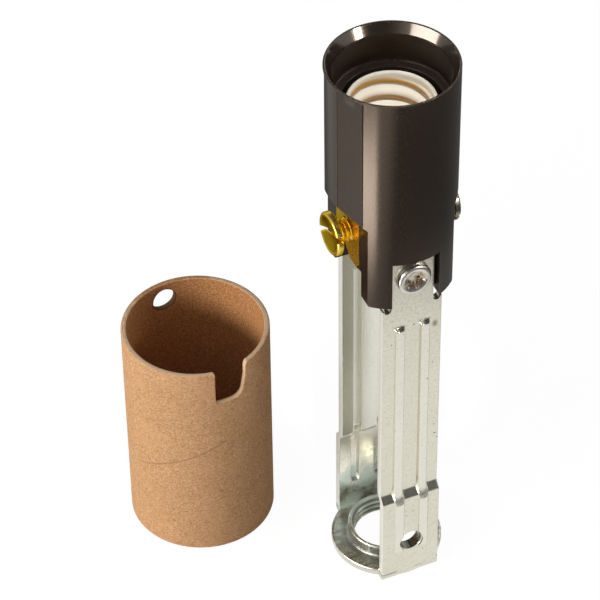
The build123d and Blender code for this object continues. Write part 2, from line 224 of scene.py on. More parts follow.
# Painted reflection: dark bands on the base's top, outside the collar.
rings = noise(place, 1.3 * mm, detail=2.0, stretch=(0.5, 1.4, 1)).fade(0.40, 0.62)
rings = rings * radius.fade(collar_r + 0.5 * mm, collar_r + 1.1 * mm)
rings = rings * z.fade(sheet + 0.1 * mm, sheet + 0.02 * mm) * z.fade(sheet - 0.5 * mm, sheet - 0.2 * mm)
steel = (rings * 0.75).mix(steel, (0.34, 0.335, 0.29, 1))
across = x.maths("ABSOLUTE", x)
sheared = across.fade(strip_half - edge_round * 0.8, strip_half - edge_round * 0.1)
sheared = sheared * across.fade(strip_half + 0.06 * mm, strip_half + 0.02 * mm) * z.fade(sheet, sheet + 0.5 * mm)
# Painted shade: the wall of the lock hole is painted dark.
hole_shade = x.maths("SQRT", x * x + (z - lock_z) * (z - lock_z))
hole_shade = hole_shade.fade(lock_r + 0.16 * mm, lock_r + 0.06 * mm) * y.fade(-6 * mm, -6.2 * mm)
steel = (hole_shade * 0.8).mix(steel, (0.10, 0.10, 0.085, 1))
# Painted light: the far leg is painted paler above the joggle.
far_leg_light = y.fade(5 * mm, 5.5 * mm) * z.fade(12 * mm, 18 * mm)
steel = (far_leg_light * 0.6).mix(steel, (0.97, 0.96, 0.86, 1))
feed(shader, Base_Color=(sheared * 0.5).mix(steel, (0.93, 0.91, 0.86, 1)),
     Metallic=1.0 - 0.65 * sheared - 0.6 * teal_reflection - 0.4 * collar_shade, Roughness=0.19 + 0.11 * grain + 0.2 * sheared,
     Normal=bump(0.6 * grain + 0.4 * drawn, 0.010 * mm))


def slope(value, start, end):
    """0 before start and 1 after end, with a soft slope between."""
    t = min(max((value - start) / (end - start), 0), 1)
    return t * t * (3 - 2 * t)


def ramp(value, start, end):
    """0 before start and 1 after end, with a straight slope between and its two corners just eased."""
    shifts = [(value + bend_ease * i / 2 - start) / (end - start) for i in (-2, -1, 0, 1, 2)]
    return sum(min(max(shift, 0), 1) for shift in shifts) / len(shifts)


def swell(x, half, flat=rib_flat):
    """The section of a pressed rib across a leg: 1 on its nearly flat crown, 0 beside it."""
    t = abs(abs(x) - rib_x) / half
    return 0 if t >= 1 else (0.5 + 0.5 * math.cos(math.pi * max(t - flat, 0) / (1 - flat))) * (1 - 0.05 * t * t)


def leg_outside(x, z):
    """How far the outer face of a leg lies from the middle plane."""
    wall = foot_y - joggle * ramp(z, joggle_z, joggle_z + joggle_rise)
    t = min(abs(abs(x) - rib_x) / rib_half, 1)
    top = rib_top + nose_curve * t * t
    lip = rib_lip + rib_lip_curve * t * t
    lean = min(max((rib_run_in - z) / (rib_run_in - lip), 0), 1) ** 2
    upper = foot_y - joggle + rib_height + (joggle + rib_height_low - rib_height) * lean - wall
    upper *= 1 - slope(z, top - nose, top + nose)
    lower = rib_height_low * slope(z, rib_bottom - nose, rib_bottom + nose)
    share = slope(z, lip - 0.07 * mm, lip + 0.07 * mm)
    return wall + (share * upper + (1 - share) * lower) * swell(x, rib_half)


def leg_inside(x, z):
    """The same for the inner face, with the hollows behind the ribs."""
    wall = foot_y - joggle * ramp(z, joggle_z, joggle_z + joggle_rise) - sheet
    lean = min(max((rib_run_in - z) / (rib_run_in - joggle_z), 0), 1)
    hollow = foot_y - joggle + joggle * lean + groove_depth - sheet - wall
    hollow *= slope(z, groove_bottom - nose, groove_bottom + nose) * (1 - slope(z, rib_top - nose, rib_top + nose))
    return wall + hollow * swell(x, groove_half)


def steps(start, end, size):
    """Values from start to just before end, about size apart."""
    count = max(round((end - start) / size), 1)
    return [start + (end - start) * i / count for i in range(count)]


# A narrow column beside each rib and edge keeps the slope's shading off the flat next to it.
apart = 0.05 * mm
columns = [-strip_half + edge_round, -strip_half + edge_round + apart]
for middle in (-rib_x, rib_x):
    columns.append(middle - rib_half - apart)
    columns += steps(middle - rib_half, middle - rib_half * rib_flat, 0.04 * mm)
    columns += steps(middle - rib_half * rib_flat, middle + rib_half * rib_flat, 0.11 * mm)
    columns += steps(middle + rib_half * rib_flat, middle + rib_half, 0.04 * mm)
    columns += [middle + rib_half, middle + rib_half + apart]
columns += [strip_half - edge_round - apart, strip_half - edge_round]


def section(outside, inside):
    """One closed ring of points round the strip; each face is a function of x that gives (y, z)."""
    ring = [(x, *outside(x)) for x in columns]
    for side in (1, -1):
        x = side * (strip_half - edge_round)
        near, far = (outside, inside) if side > 0 else (inside, outside)
        start, end = Vector(near(x)), Vector(far(x))
        into = (end - start).normalized() * edge_round
        half = edge_round * (1 - math.sqrt(0.5))
        ring.append((side * (strip_half - half), *(start + into * (1 - math.sqrt(0.5)))))
        ring.append((side * strip_half, *(start + into)))
        ring.append((side * strip_half, *(end - into)))
        ring.append((side * (strip_half - half), *(end - into * (1 - math.sqrt(0.5)))))
        if side > 0:
            ring += [(x, *inside(x)) for x in reversed(columns)]
    return ring


def lofted(rings):
    """The faces of a closed bar through rings of points, with a cap at each end."""
    count = len(rings[0])
    points = [point for ring in rings for point in ring]
    faces = [[i * count + j, i * count + (j + 1) % count, (i + 1) * count + (j + 1) % count, (i + 1) * count + j]
             for i in range(len(rings) - 1) for j in range(count)]
    last = (len(rings) - 1) * count
    return points, faces + [list(range(count))[::-1], [last + j for j in range(count)]]


# The rows up a leg lie close together at the ribs' ends and over the joggle, and far apart between.
heights = steps(fold_inside + sheet, 4.5 * mm, 0.8 * mm) + steps(4.5 * mm, 6.6 * mm, 0.1 * mm)
heights += steps(6.6 * mm, 14.9 * mm, 1.0 * mm) + steps(14.9 * mm, 17.5 * mm, 0.06 * mm)
heights += steps(17.5 * mm, 20.6 * mm, 0.3 * mm) + steps(20.6 * mm, 48.6 * mm, 2 * mm)
heights += steps(48.6 * mm, 50.2 * mm, 0.045 * mm) + steps(50.2 * mm, leg_top, 2 * mm) + [leg_top]
rings = []
for z in reversed(heights):
    rings.append(section(lambda x: (-leg_outside(x, z), z), lambda x: (-leg_inside(x, z), z)))
for i in range(1, 7):
    turn = math.radians(15 * i)
    outer = (-foot_y + fold_outside * (1 - math.cos(turn)), fold_outside * (1 - math.sin(turn)))
    inner = (-foot_y + sheet + fold_inside * (1 - math.cos(turn)), sheet + fold_inside * (1 - math.sin(turn)))
    rings.append(section(lambda x: outer, lambda x: inner))
hair = 0.006 * mm
strip_end = 6.0 * mm
rings.append(section(lambda x: (-strip_end, hair), lambda x: (-strip_end, sheet - hair)))
leg_points, leg_faces = lofted(rings)


def turned(profile, count, ripple=lambda turn, r, z: r):
    """Points and faces of a closed (radius, height) outline turned about Z."""
    points = []
    for i in range(count):
        turn = 2 * math.pi * i / count
        for r, z in profile:
            r = ripple(turn, r, z)
            points.append((r * math.cos(turn), r * math.sin(turn), z))
    size = len(profile)
    faces = [[i * size + j, (i + 1) % count * size + j, (i + 1) % count * size + (j + 1) % size,
              i * size + (j + 1) % size] for i in range(count) for j in range(size)]
    return points, faces


def new_piece(name, shapes, material, sharp=35):
    """An object from one or more (points, faces) shapes, shaded smooth up to an angle."""
    points, faces = [], []
    for more_points, more_faces in shapes:
        faces += [[len(points) + i for i in face] for face in more_faces]
        points += more_points
    mesh = bpy.data.meshes.new(name)
    mesh.from_pydata(points, [], faces)
    mesh.validate()
    mesh.materials.append(material)
    piece = bpy.data.objects.new(name, mesh)
    bpy.context.scene.collection.objects.link(piece)
    smoothed(piece, sharp)
    return piece


def smoothed(piece, sharp):
    piece.data.shade_smooth()
    piece.data.set_sharp_from_angle(angle=math.radians(sharp))


def applied(piece):
    """Replaces a piece's mesh by what its modifiers make of it."""
    evaluated = piece.evaluated_get(bpy.context.evaluated_depsgraph_get())
    mesh = bpy.data.meshes.new_from_object(evaluated)
    piece.modifiers.clear()
    piece.data = mesh
    return piece


def cut(piece, shapes):
    """Cuts shapes out of a piece, which must be closed and must not overlap each other."""
    tool = new_piece("tool", shapes, piece.data.materials[0])
    outward(tool)
    modifier = piece.modifiers.new("cut", "BOOLEAN")
    modifier.operation, modifier.solver, modifier.object = "DIFFERENCE", "EXACT", tool
    applied(piece)
    bpy.data.objects.remove(tool)


def prism(outline, start, end, axis="Y"):
    """A closed bar from a 2-D outline: (x, z) points along Y, (y, z) along X or (x, y) along Z."""
    put = {"Y": lambda a, b, c: (a, c, b), "X": lambda a, b, c: (c, a, b), "Z": lambda a, b, c: (a, b, c)}[axis]
    count = len(outline)
    points = [put(a, b, start) for a, b in outline] + [put(a, b, end) for a, b in outline]
    faces = [[i, (i + 1) % count, count + (i + 1) % count, count + i] for i in range(count)]
    return points, faces + [list(range(count))[::-1], [count + i for i in range(count)]]


def outward(piece):
    """Turns every face outwards."""
    form = bmesh.new()
    form.from_mesh(piece.data)
    bmesh.ops.remove_doubles(form, verts=form.verts, dist=1e-7)
    bmesh.ops.recalc_face_normals(form, faces=form.faces)
    form.to_mesh(piece.data)
    form.free()


def arc(centre_x, centre_z, radius, start, end, count):
    """Points of an arc in a 2-D outline, in degrees."""
    turns = [math.radians(start + (end - start) * i / count) for i in range(count + 1)]
    return [(centre_x + radius * math.cos(t), centre_z + radius * math.sin(t)) for t in turns]


bracket = new_piece("bracket_strip", [(leg_points, leg_faces), ([(a, -b, c) for a, b, c in leg_points],
                                                                [face[::-1] for face in leg_faces])], plating)
outward(bracket)
far = 12 * mm
beside_tongue = arc(tongue_half + relief, shoulder_z, relief, 180, 360, 12)
beside_tongue += [(far, shoulder_z), (far, leg_top + far), (tongue_half, leg_top + far)]
lock_hole = arc(0, lock_z, lock_r + lock_wall / 2, 0, 352.5, 47)
tools = [prism(beside_tongue, -far, far), prism([(-a, b) for a, b in beside_tongue], -far, far),
         prism(lock_hole, -far, 0)]
for tool in tools:
    cut(bracket, [tool])
lip_in = foot_y - sheet - lock_lip
ease = 0.1 * mm
lip_end = lip_in - foot_y
lip_out, lip_root = lock_r + lock_wall, lock_r + lock_wall * 0.75
barrel = [(lock_r + ease, -hair), (lock_r, -ease), (lock_r, lip_end + ease), (lock_r + ease, lip_end)]
barrel += [(lip_out - ease, lip_end), (lip_out, lip_end + ease), (lip_out, -sheet / 2), (lip_root, -sheet / 2)]
barrel += [(lip_root, -hair)]
points, faces = turned(barrel, 64)
lock_ring = ([(a, -foot_y - c, lock_z + b) for a, b, c in points], faces)


def nipple_thread(turn, r, z):
    """The ring's bore: a fine V thread between its two diameters, fading out at the ends."""
    if r > nipple_root + hair:
        return r
    phase = (z / nipple_pitch - turn / (2 * math.pi)) % 1
    depth = abs(2 * phase - 1)
    ends = slope(z, 0, 0.4 * mm) * (1 - slope(z, collar_top - 0.5 * mm, collar_top - 0.2 * mm))
    return nipple_root - (nipple_root - nipple_r) * (depth * ends)


ring_profile = [(nipple_root, z) for z in steps(0.1 * mm, collar_top - 0.1 * mm, 0.09 * mm)]
ring_profile += [(nipple_root + 0.1 * mm, collar_top), (collar_r - 0.15 * mm, collar_top)]
ring_profile += [(collar_r, collar_top - 0.15 * mm), (collar_r, sheet + collar_foot)]
ring_profile += arc(collar_r + collar_foot, sheet + collar_foot, collar_foot, 180, 270, 8)[1:]
ring_profile += [(disc_r - 0.5 * mm, sheet)] + arc(disc_r - 0.3 * mm, sheet - 0.3 * mm, 0.3 * mm, 90, 0, 5)
ring_profile += arc(disc_r - 0.2 * mm, 0.2 * mm, 0.2 * mm, 0, -90, 4) + [(nipple_root + 0.2 * mm, 0)]
ring = turned(ring_profile, 192, nipple_thread)
fittings = new_piece("bracket_ring", [ring, lock_ring], plating)
outward(fittings)
for piece in (bracket, fittings):
    smoothed(piece, 40)
    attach(piece, "holder")
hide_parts("bracket")
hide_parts("bracket")

# Leg rivets: nickel-plated steel, one through each leg and one lobe of the moulding. The bevelled head is turned,
# and its recess was formed when the rivet was set, so it has six uneven points. The shank ends inside the channel.
head_low, head_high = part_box("front_leg_rivet")
rivet_z = (head_low.z + head_high.z) / 2
head_r = head_high.x
head_seat = foot_y - joggle
head_top = -head_low.y
tail_in = -head_high.y
tail_r = 2.3 * mm
tail_height = 0.45 * mm
shank_r = 1.5 * mm
head_ease = 0.45 * mm
star_out = 1.46 * mm
star_in = 0.95 * mm
star_depth = 1.5 * mm
star_points = 6

nickel, shader, place = new_material("nickel_plating")
cloud = noise(place, 1.4 * mm, detail=3.0)
grain = noise(place, 0.2 * mm, detail=2.0)
plate = cloud.mix((0.70, 0.655, 0.58, 1), (0.82, 0.79, 0.72, 1))
plate = (noise(place, 0.6 * mm, detail=4.0).fade(0.60, 0.78) * 0.5).mix(plate, (0.36, 0.24, 0.13, 1))
x, y, z = axes(place)
centre = x.maths("SQRT", x * x + (z - rivet_z) * (z - rivet_z))
struck = centre.fade(star_out + 0.29 * mm, star_out - 0.11 * mm) * y.maths("ABSOLUTE", y).fade(6.5 * mm, 7.0 * mm)
plate = (struck * (0.35 + 0.5 * cloud)).mix(plate, (0.42, 0.29, 0.19, 1))
plate = (x.fade(7.2 * mm, 7.6 * mm) * 0.85).mix(plate, (0.22, 0.18, 0.11, 1))
feed(shader, Base_Color=plate, Metallic=1.0, Roughness=0.18 + 0.14 * grain, Normal=bump(grain, 0.01 * mm))


def star_recess(turn, r, z):
    """Waves the wall of the recess in and out."""
    if r > star_out - hair:
        return r
    wave = 0.5 + 0.5 * math.cos(star_points * turn)
    return r * (star_in + (star_out - star_in) * wave) / star_out


crown = head_top - 0.12 * mm
rivet_profile = [(0.02 * mm, head_top - star_depth - 0.15 * mm), (star_out * 0.6, head_top - star_depth)]
rivet_profile += [(star_out * 0.92, crown - 0.5 * mm), (star_out * 0.99, crown - 0.08 * mm)]
rivet_profile += [(star_out + 0.08 * mm, crown + 0.02 * mm), (star_out + 0.4 * mm, head_top)]
rivet_profile += arc(head_r - head_ease, head_top - head_ease, head_ease, 75, 0, 8)
rivet_profile += [(head_r, head_seat + 0.12 * mm), (head_r - 0.14 * mm, head_seat + 0.01 * mm)]
rivet_profile += [(shank_r, head_seat + 0.01 * mm)]
rivet_profile += [(shank_r, tail_in + tail_height), (tail_r, tail_in + tail_height), (tail_r, tail_in + 0.1 * mm)]
rivet_profile += [(tail_r - 0.1 * mm, tail_in), (0.02 * mm, tail_in)]
blank = new_piece("rivet_blank", [turned(rivet_profile, 96, star_recess)], nickel)
outward(blank)


def new_tree(name, sizes):
    """A Geometry Nodes tree with named inputs; returns it and its inputs as values."""
    tree = bpy.data.node_groups.new(name, "GeometryNodeTree")
    tree.interface.new_socket("Mesh", in_out="OUTPUT", socket_type="NodeSocketGeometry")
    for label, kind in sizes.items():
        tree.interface.new_socket(label, in_out="INPUT", socket_type="NodeSocket" + kind)
    group = tree.nodes.new("NodeGroupInput")
    return tree, {label: Value(tree, group.outputs[label]) for label in sizes}


def finish_tree(mesh, material):
    """Ends a tree: realized, given its material, and sent out."""
    real = mesh.node("GeometryNodeRealizeInstances", {}, {"Geometry": mesh})
    painted = real.node("GeometryNodeSetMaterial", {}, {"Geometry": real, "Material": material})
    end = mesh.tree.nodes.new("NodeGroupOutput")
    mesh.tree.links.new(painted.socket, end.inputs[0])


def grown(name, tree, sizes, sharp=35):
    """Runs a tree with these sizes and keeps the result as a plain mesh."""
    piece = bpy.data.objects.new(name, bpy.data.meshes.new(name))
    bpy.context.scene.collection.objects.link(piece)
    modifier = piece.modifiers.new(name, "NODES")
    modifier.node_group = tree
    for item in tree.interface.items_tree:
        if item.in_out == "INPUT":
            modifier[item.identifier] = sizes[item.name]
    applied(piece)
    smoothed(piece, sharp)
    return piece


# The tree sets one blank on each side of the socket, turned to face outwards.
tree, given = new_tree("rivet_pair", {"Blank": "Object", "Height": "Float", "Turn": "Float", "Material": "Material"})
blank_mesh = given["Blank"].node("GeometryNodeObjectInfo", {"transform_space": "ORIGINAL"},
                                 {"Object": given["Blank"]}, out=4)
sides = blank_mesh.node("GeometryNodeMeshLine", {"mode": "OFFSET"}, {"Count": 2, "Offset": (0, 0, 0)})
index = blank_mesh.node("GeometryNodeInputIndex", {}, {})
spin = blank_mesh.node("ShaderNodeCombineXYZ", {},
                       {"X": math.pi / 2, "Y": given["Turn"] * (1 - index), "Z": index * math.pi})
placed = blank_mesh.node("GeometryNodeInstanceOnPoints", {},
                         {"Points": sides, "Instance": blank_mesh, "Rotation": spin})
lift = blank_mesh.node("ShaderNodeCombineXYZ", {}, {"Z": given["Height"]})
raised = blank_mesh.node("GeometryNodeTransform", {}, {"Geometry": placed, "Translation": lift})
finish_tree(raised, given["Material"])
leg_rivets = grown("leg_rivets", tree, {"Blank": blank, "Height": rivet_z, "Turn": 0.3, "Material": nickel}, 40)
bpy.data.objects.remove(blank)
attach(leg_rivets, "holder")
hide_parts("front_leg_rivet", "back_leg_rivet")

# Socket body: dark phenolic moulding, pressed in one piece. A barrel with a stepped mouth and a bore for the screw
# shell, a flat with a pocket at each terminal, and two lobes below, between which the wires come up.
body_low, body_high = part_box("socket_body")
body_r = body_high.x - 0.004 * mm
body_bottom, body_top = body_low.z, body_high.z
cavity_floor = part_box("contact_washer")[0].z
ledge_z = body_top - 5.9 * mm
mouth_r = 8.0 * mm
chamfer = 1.45 * mm
lip = 0.3 * mm
bore_r = 6.7 * mm
edge = 0.12 * mm

phenolic, shader, place = new_material("phenolic")
x, y, z = axes(place)
cloud = noise(place, 7 * mm, detail=3.0)
grain = noise(place, 0.22 * mm, detail=2.0)
flow = noise(place, 1.1 * mm, detail=3.0, stretch=(1, 1, 0.12))
resin = cloud.mix((0.0085, 0.0064, 0.0050, 1), (0.0150, 0.0110, 0.0085, 1))
resin = (grain.fade(0.52, 0.72) * 0.55).mix(resin, (0.036, 0.027, 0.021, 1))
rim = z.fade(body_top - 0.3 * mm, body_top - 0.02 * mm)
chips = noise(place, 0.16 * mm, detail=1.0).fade(0.62, 0.70)
resin = (rim * chips * 0.5).mix(resin, (0.26, 0.20, 0.13, 1))
radius = place.maths("SQRT", x * x + y * y)
mouth = radius.fade(mouth_r + 0.92 * mm, mouth_r + 0.84 * mm) * z.fade(body_top - 1.7 * mm, body_top - 1.4 * mm)
turning = noise(place, 0.12 * mm, detail=1.0, stretch=(0.12, 0.12, 2.0))
# Painted shade: inside the mouth, the wall between the ledge and the chamfer is painted near black and made rougher.
mouth_shade = radius.fade(mouth_r + 0.3 * mm, mouth_r + 0.1 * mm)
mouth_shade = mouth_shade * z.fade(body_top - 1.55 * mm, body_top - 1.75 * mm) * z.fade(ledge_z + 0.4 * mm, ledge_z + 0.7 * mm)
resin = (mouth_shade * 0.8).mix(resin, (0.002, 0.0016, 0.0012, 1))
feed(shader, Base_Color=resin, Roughness=0.13 + 0.08 * grain + 0.04 * flow + 0.28 * mouth_shade,
     Specular_IOR_Level=0.7, Specular_Tint=(1.0, 0.73, 0.52, 1),
     Coat_Weight=mouth * (0.5 + 0.5 * turning), Coat_Roughness=0.09,
     Normal=bump(0.6 * grain * (1 - mouth) + 0.4 * flow, 0.009 * mm))

corner = 0.3 * mm
barrel = [(0.02 * mm, body_bottom), (body_r - edge, body_bottom), (body_r, body_bottom + edge)]
barrel += [(body_r, body_top - edge), (body_r - 0.03 * mm, body_top - 0.03 * mm), (body_r - edge, body_top)]
barrel += [(body_r - lip + 0.05 * mm, body_top), (body_r - lip - 0.03 * mm, body_top - 0.06 * mm)]
barrel += [(mouth_r + 0.03 * mm, body_top - chamfer + 0.05 * mm), (mouth_r, body_top - chamfer - 0.04 * mm)]
barrel += arc(mouth_r - corner, ledge_z + corner, corner, 360, 270, 6)
barrel += [(bore_r + 0.1 * mm, ledge_z), (bore_r, ledge_z - 0.1 * mm), (bore_r, cavity_floor)]
barrel += [(0.02 * mm, cavity_floor)]
body = new_piece("socket_moulding", [turned(barrel, 180)], phenolic)
outward(body)
flat_x = 6.4 * mm
flat_top = 68.1 * mm
roof_slope = math.radians(35)
pocket_half = 3.75 * mm
pocket_depth = 0.7 * mm
channel_half = 4.4 * mm
channel_roof = 59.2 * mm
corner = 0.45 * mm
notch_half = 3.57 * mm
notch_top = 62.5 * mm
seat_y = foot_y - joggle - sheet
low = body_bottom - far
beside_flat = [(flat_x - corner, low)] + arc(flat_x - corner, body_bottom + corner, corner, 270, 360, 12)
beside_flat += [(flat_x, flat_top), (far, flat_top + (far - flat_x) * math.tan(roof_slope)), (far, low)]
pocket_x = flat_x - pocket_depth
pocket = [(pocket_x, -pocket_half), (far, -pocket_half), (far, pocket_half), (pocket_x, pocket_half)]
notch = [(-notch_half, seat_y), (notch_half, seat_y), (notch_half, far), (-notch_half, far)]
channel = [(-channel_half, low), (channel_half, low), (channel_half, channel_roof), (-channel_half, channel_roof)]
facet_from, facet_to = math.radians(13), math.radians(40)
score_depth = 0.16 * mm
score_half = 0.12 * mm
chord = body_r * math.cos((facet_to - facet_from) / 2)
reach = chord * math.tan((facet_to - facet_from) / 2) * 1.02


def facet(side):
    """The prism beside the brass terminal that takes one flat facet off the barrel."""
    middle = math.pi - side * (facet_from + facet_to) / 2
    ahead, across = Vector((math.cos(middle), math.sin(middle))), Vector((-math.sin(middle), math.cos(middle)))
    corners = [ahead * chord - across * reach, ahead * far - across * reach, ahead * far + across * reach,
               ahead * chord + across * reach]
    return prism([tuple(c) for c in corners], low, body_top - 0.4 * mm, "Z")


def scored(side, edge):
    """A fine V groove down the barrel along one edge of a facet."""
    turn = math.pi - side * edge
    ahead, across = Vector((math.cos(turn), math.sin(turn))), Vector((-math.sin(turn), math.cos(turn)))
    bottom = ahead * (body_r - score_depth)
    corners = [bottom, ahead * (body_r + score_depth) - across * score_half * 2,
               ahead * (body_r + score_depth) + across * score_half * 2]
    return prism([tuple(c) for c in corners], body_bottom + 6 * mm, body_top - 0.4 * mm, "Z")


def turned_about(shape):
    """The same shape on the other side of the socket."""
    points, faces = shape
    return [(-a, -b, c) for a, b, c in points], faces


screw_low, screw_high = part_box("shell_terminal_screw")
screw_z = (screw_low.z + screw_high.z) / 2
screw_hole_r = 1.95 * mm
screw_hole_deep = 3.3 * mm
screw_hole = arc(0, screw_z, screw_hole_r, 0, 352.5, 47)
sockets = [prism(beside_flat, -far, far), prism(pocket, low, flat_top, "Z"), prism(notch, low, notch_top, "Z"),
           prism(screw_hole, flat_x - screw_hole_deep, far, "X")]
for shape in [side for one in sockets for side in (one, turned_about(one))] + [facet(1), facet(-1)]:
    cut(body, [shape])
cut(body, [prism(channel, -far, far, "X")])
for side in (1, -1):
    for line in (facet_from, facet_to):
        cut(body, [scored(side, line)])
bevel = body.modifiers.new("edges", "BEVEL")
bevel.width, bevel.segments, bevel.limit_method, bevel.angle_limit = 0.07 * mm, 2, "ANGLE", math.radians(40)
bevel.use_clamp_overlap = True
applied(body)
smoothed(body, 9)
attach(body, "holder")
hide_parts("socket_body")

# Screw shell: thin sheet, rolled so that the lamp's thread shows as rounded waves inside and out. Its shape
# follows one rule, so a tree bends a plain grid into it. Its floor is riveted down, with a hole for the contact.
bright, shader, place = new_material("shell_metal")
x, y, z = axes(place)
cloud = noise(place, 2.2 * mm, detail=3.0)
grain = noise(place, 0.3 * mm, detail=2.0, stretch=(1, 1, 3))
shell_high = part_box("screw_shell")[1]
shell_out = shell_high.x
shell_wall = 0.35 * mm
thread_depth = 0.6 * mm
pitch = 2.54 * mm
thread_phase = 73.7 * mm
roll_start, roll_full = 70.6 * mm, 71.8 * mm
neck_start, neck_full = 82.0 * mm, 82.9 * mm
flare_start, flare_full = 83.6 * mm, 83.95 * mm
# Painted shade: the down-facing slopes of the thread waves are painted brown, following the thread's turns up to the
# flare.
wave_shade = (z - thread_phase) / pitch * (2 * math.pi) - x.maths("ARCTAN2", y, x)
wave_shade = wave_shade.maths("SINE", wave_shade).fade(-0.1, 0.9) * z.fade(flare_start, flare_start - 0.4 * mm)
sheen = cloud.mix((0.86, 0.79, 0.65, 1), (0.93, 0.88, 0.77, 1))
sheen = wave_shade.mix(sheen, (0.60, 0.34, 0.08, 1))
feed(shader, Base_Color=sheen, Metallic=0.4, Roughness=0.36 + 0.12 * grain, Normal=bump(grain, 0.006 * mm))

tree, given = new_tree("rolled_shell", {"Radius": "Float", "Depth": "Float", "Pitch": "Float", "Phase": "Float",
                                        "Foot": "Float", "Rim": "Float", "Material": "Material"})
radius, depth = given["Radius"], given["Depth"]
wall = radius.node("GeometryNodeMeshGrid", {},
                   {"Size X": 1.0, "Size Y": 1.0, "Vertices X": 181, "Vertices Y": 141})
spot = radius.node("GeometryNodeInputPosition", {}, {})
along, up, _ = axes(spot)
turn = (along + 0.5) * (2 * math.pi)
height = given["Foot"] + (given["Rim"] - given["Foot"]) * (up + 0.5)
wave = ((height - given["Phase"]) / given["Pitch"] - (along + 0.5)) * (2 * math.pi)
wave = 0.5 + 0.5 * wave.maths("COSINE", wave)
foot, neck = height.fade(roll_start, roll_full), height.fade(neck_start, neck_full)
flare = height.fade(flare_start, flare_full)
r = radius + depth * (wave * foot * (1 - neck) + 0.66 * neck + 0.3 * flare)
bent = radius.node("ShaderNodeCombineXYZ", {},
                   {"X": r * turn.maths("COSINE", turn), "Y": r * turn.maths("SINE", turn), "Z": height})
shaped = radius.node("GeometryNodeSetPosition", {}, {"Geometry": wall, "Position": bent})
closed = radius.node("GeometryNodeMergeByDistance", {}, {"Geometry": shaped, "Distance": 0.001 * mm})
finish_tree(closed, given["Material"])
shell = grown("screw_shell_wall", tree, {
    "Radius": shell_out - thread_depth - shell_wall, "Depth": thread_depth, "Pitch": pitch, "Phase": thread_phase,
    "Foot": cavity_floor + shell_wall, "Rim": shell_high.z, "Material": bright})
skin = shell.modifiers.new("wall", "SOLIDIFY")
skin.thickness, skin.offset = shell_wall * 0.9, -1
applied(shell)
outward(shell)
smoothed(shell, 45)
floor_r = shell_out - thread_depth
floor_top = cavity_floor + 0.4 * mm
floor_profile = [(0.02 * mm, cavity_floor), (floor_r, cavity_floor), (floor_r, floor_top), (0.02 * mm, floor_top)]
disc = new_piece("screw_shell_floor", [turned(floor_profile, 96)], bright)
outward(disc)
contact_low, contact_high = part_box("contact_rivet")
contact_x = contact_low.x / 2 + contact_high.x / 2
contact_hole = arc(contact_x - 0.1 * mm, 0, 3.0 * mm, 0, 352.5, 47)
cut(disc, [prism(contact_hole, cavity_floor - mm, cavity_floor + mm, "Z")])
smoothed(disc, 35)
for piece in (shell, disc):
    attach(piece, "holder")
    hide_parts("screw_shell")

# Terminal straps, floor rivets, washer and centre contact: stampings that keep the shape of the solids. The strap
# and the contact at -X are brass, the strap at +X is nickel-plated, and the washer under the contact is fibre.
brass, shader, place = new_material("brass")
cloud = noise(place, 1.6 * mm, detail=3.0)
grain = noise(place, 0.18 * mm, detail=2.0)
stains = noise(place, 0.7 * mm, detail=4.0).fade(0.58, 0.76)
metal = cloud.mix((0.80, 0.54, 0.055, 1), (0.92, 0.70, 0.16, 1))
metal = (stains * 0.5).mix(metal, (0.45, 0.23, 0.02, 1))
# Painted reflection: the dish of the brass screw's head is painted dark olive-brown.
dish_reflection_r = 2.85 * mm
dish_reflection_x = -8.35 * mm
x, y, z = axes(place)
dish_reflection = x.maths("SQRT", y * y + (z - screw_z) * (z - screw_z)).fade(dish_reflection_r, dish_reflection_r - 0.5 * mm)
dish_reflection = dish_reflection * x.fade(dish_reflection_x, dish_reflection_x - 0.25 * mm)
metal = (dish_reflection * 0.85).mix(metal, (0.26, 0.17, 0.006, 1))
feed(shader, Base_Color=metal, Metallic=0.95, Roughness=0.20 + 0.15 * grain, Specular_Tint=(1.0, 0.78, 0.22, 1),
     Normal=bump(grain, 0.014 * mm))

fibre, shader, place = new_material("vulcanised_fibre")
grain = noise(place, 0.25 * mm, detail=4.0)
feed(shader, Base_Color=grain.mix((0.10, 0.045, 0.025, 1), (0.20, 0.10, 0.06, 1)), Roughness=0.6 + 0.15 * grain,
     Normal=bump(grain, 0.02 * mm))

finishes = {"shell_strap": nickel, "shell_rivet": nickel, "contact_strap": brass, "contact_rivet": brass,
            "centre_contact": brass, "contact_washer": fibre}
for node, finish in finishes.items():
    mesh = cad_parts[node].data
    mesh.materials.clear()
    mesh.materials.append(finish)

# Terminal screws: binding-head screws, one brass and one nickel-plated, backed out as they are shipped. The head is
# turned with a shallow dish and slotted, and the thread is rolled on the shank. Each rides on its own body.
head_half = 3.15 * mm
head_height = 0.95 * mm
dish = 0.50 * mm
slot_half = 0.45 * mm
slot_deep = 0.5 * mm
slot_turn = math.radians(20)
core_r = 1.42 * mm
crest_r = 1.75 * mm
screw_pitch = 0.62 * mm

# The tree winds a diamond bar along a spiral, so that half of it stands out of the shank as a V thread.
tree, given = new_tree("screw_thread", {"Core": "Float", "Crest": "Float", "Pitch": "Float", "Length": "Float",
                                        "Material": "Material"})
core = given["Core"]
spiral = core.node("GeometryNodeCurveSpiral", {}, {
    "Resolution": 40, "Rotations": given["Length"] / given["Pitch"], "Start Radius": core, "End Radius": core,
    "Height": given["Length"], "Reverse": True})
upright = core.node("GeometryNodeSetCurveNormal", {"mode": "Z_UP"}, {"Curve": spiral})
tooth = core.node("GeometryNodeCurvePrimitiveQuadrilateral", {"mode": "KITE"}, {
    "Width": (given["Crest"] - core) * 2, "Bottom Height": given["Pitch"] * 0.46,
    "Top Height": given["Pitch"] * 0.46})
wound = core.node("GeometryNodeCurveToMesh", {}, {"Curve": upright, "Profile Curve": tooth, "Fill Caps": True})
finish_tree(wound, given["Material"])

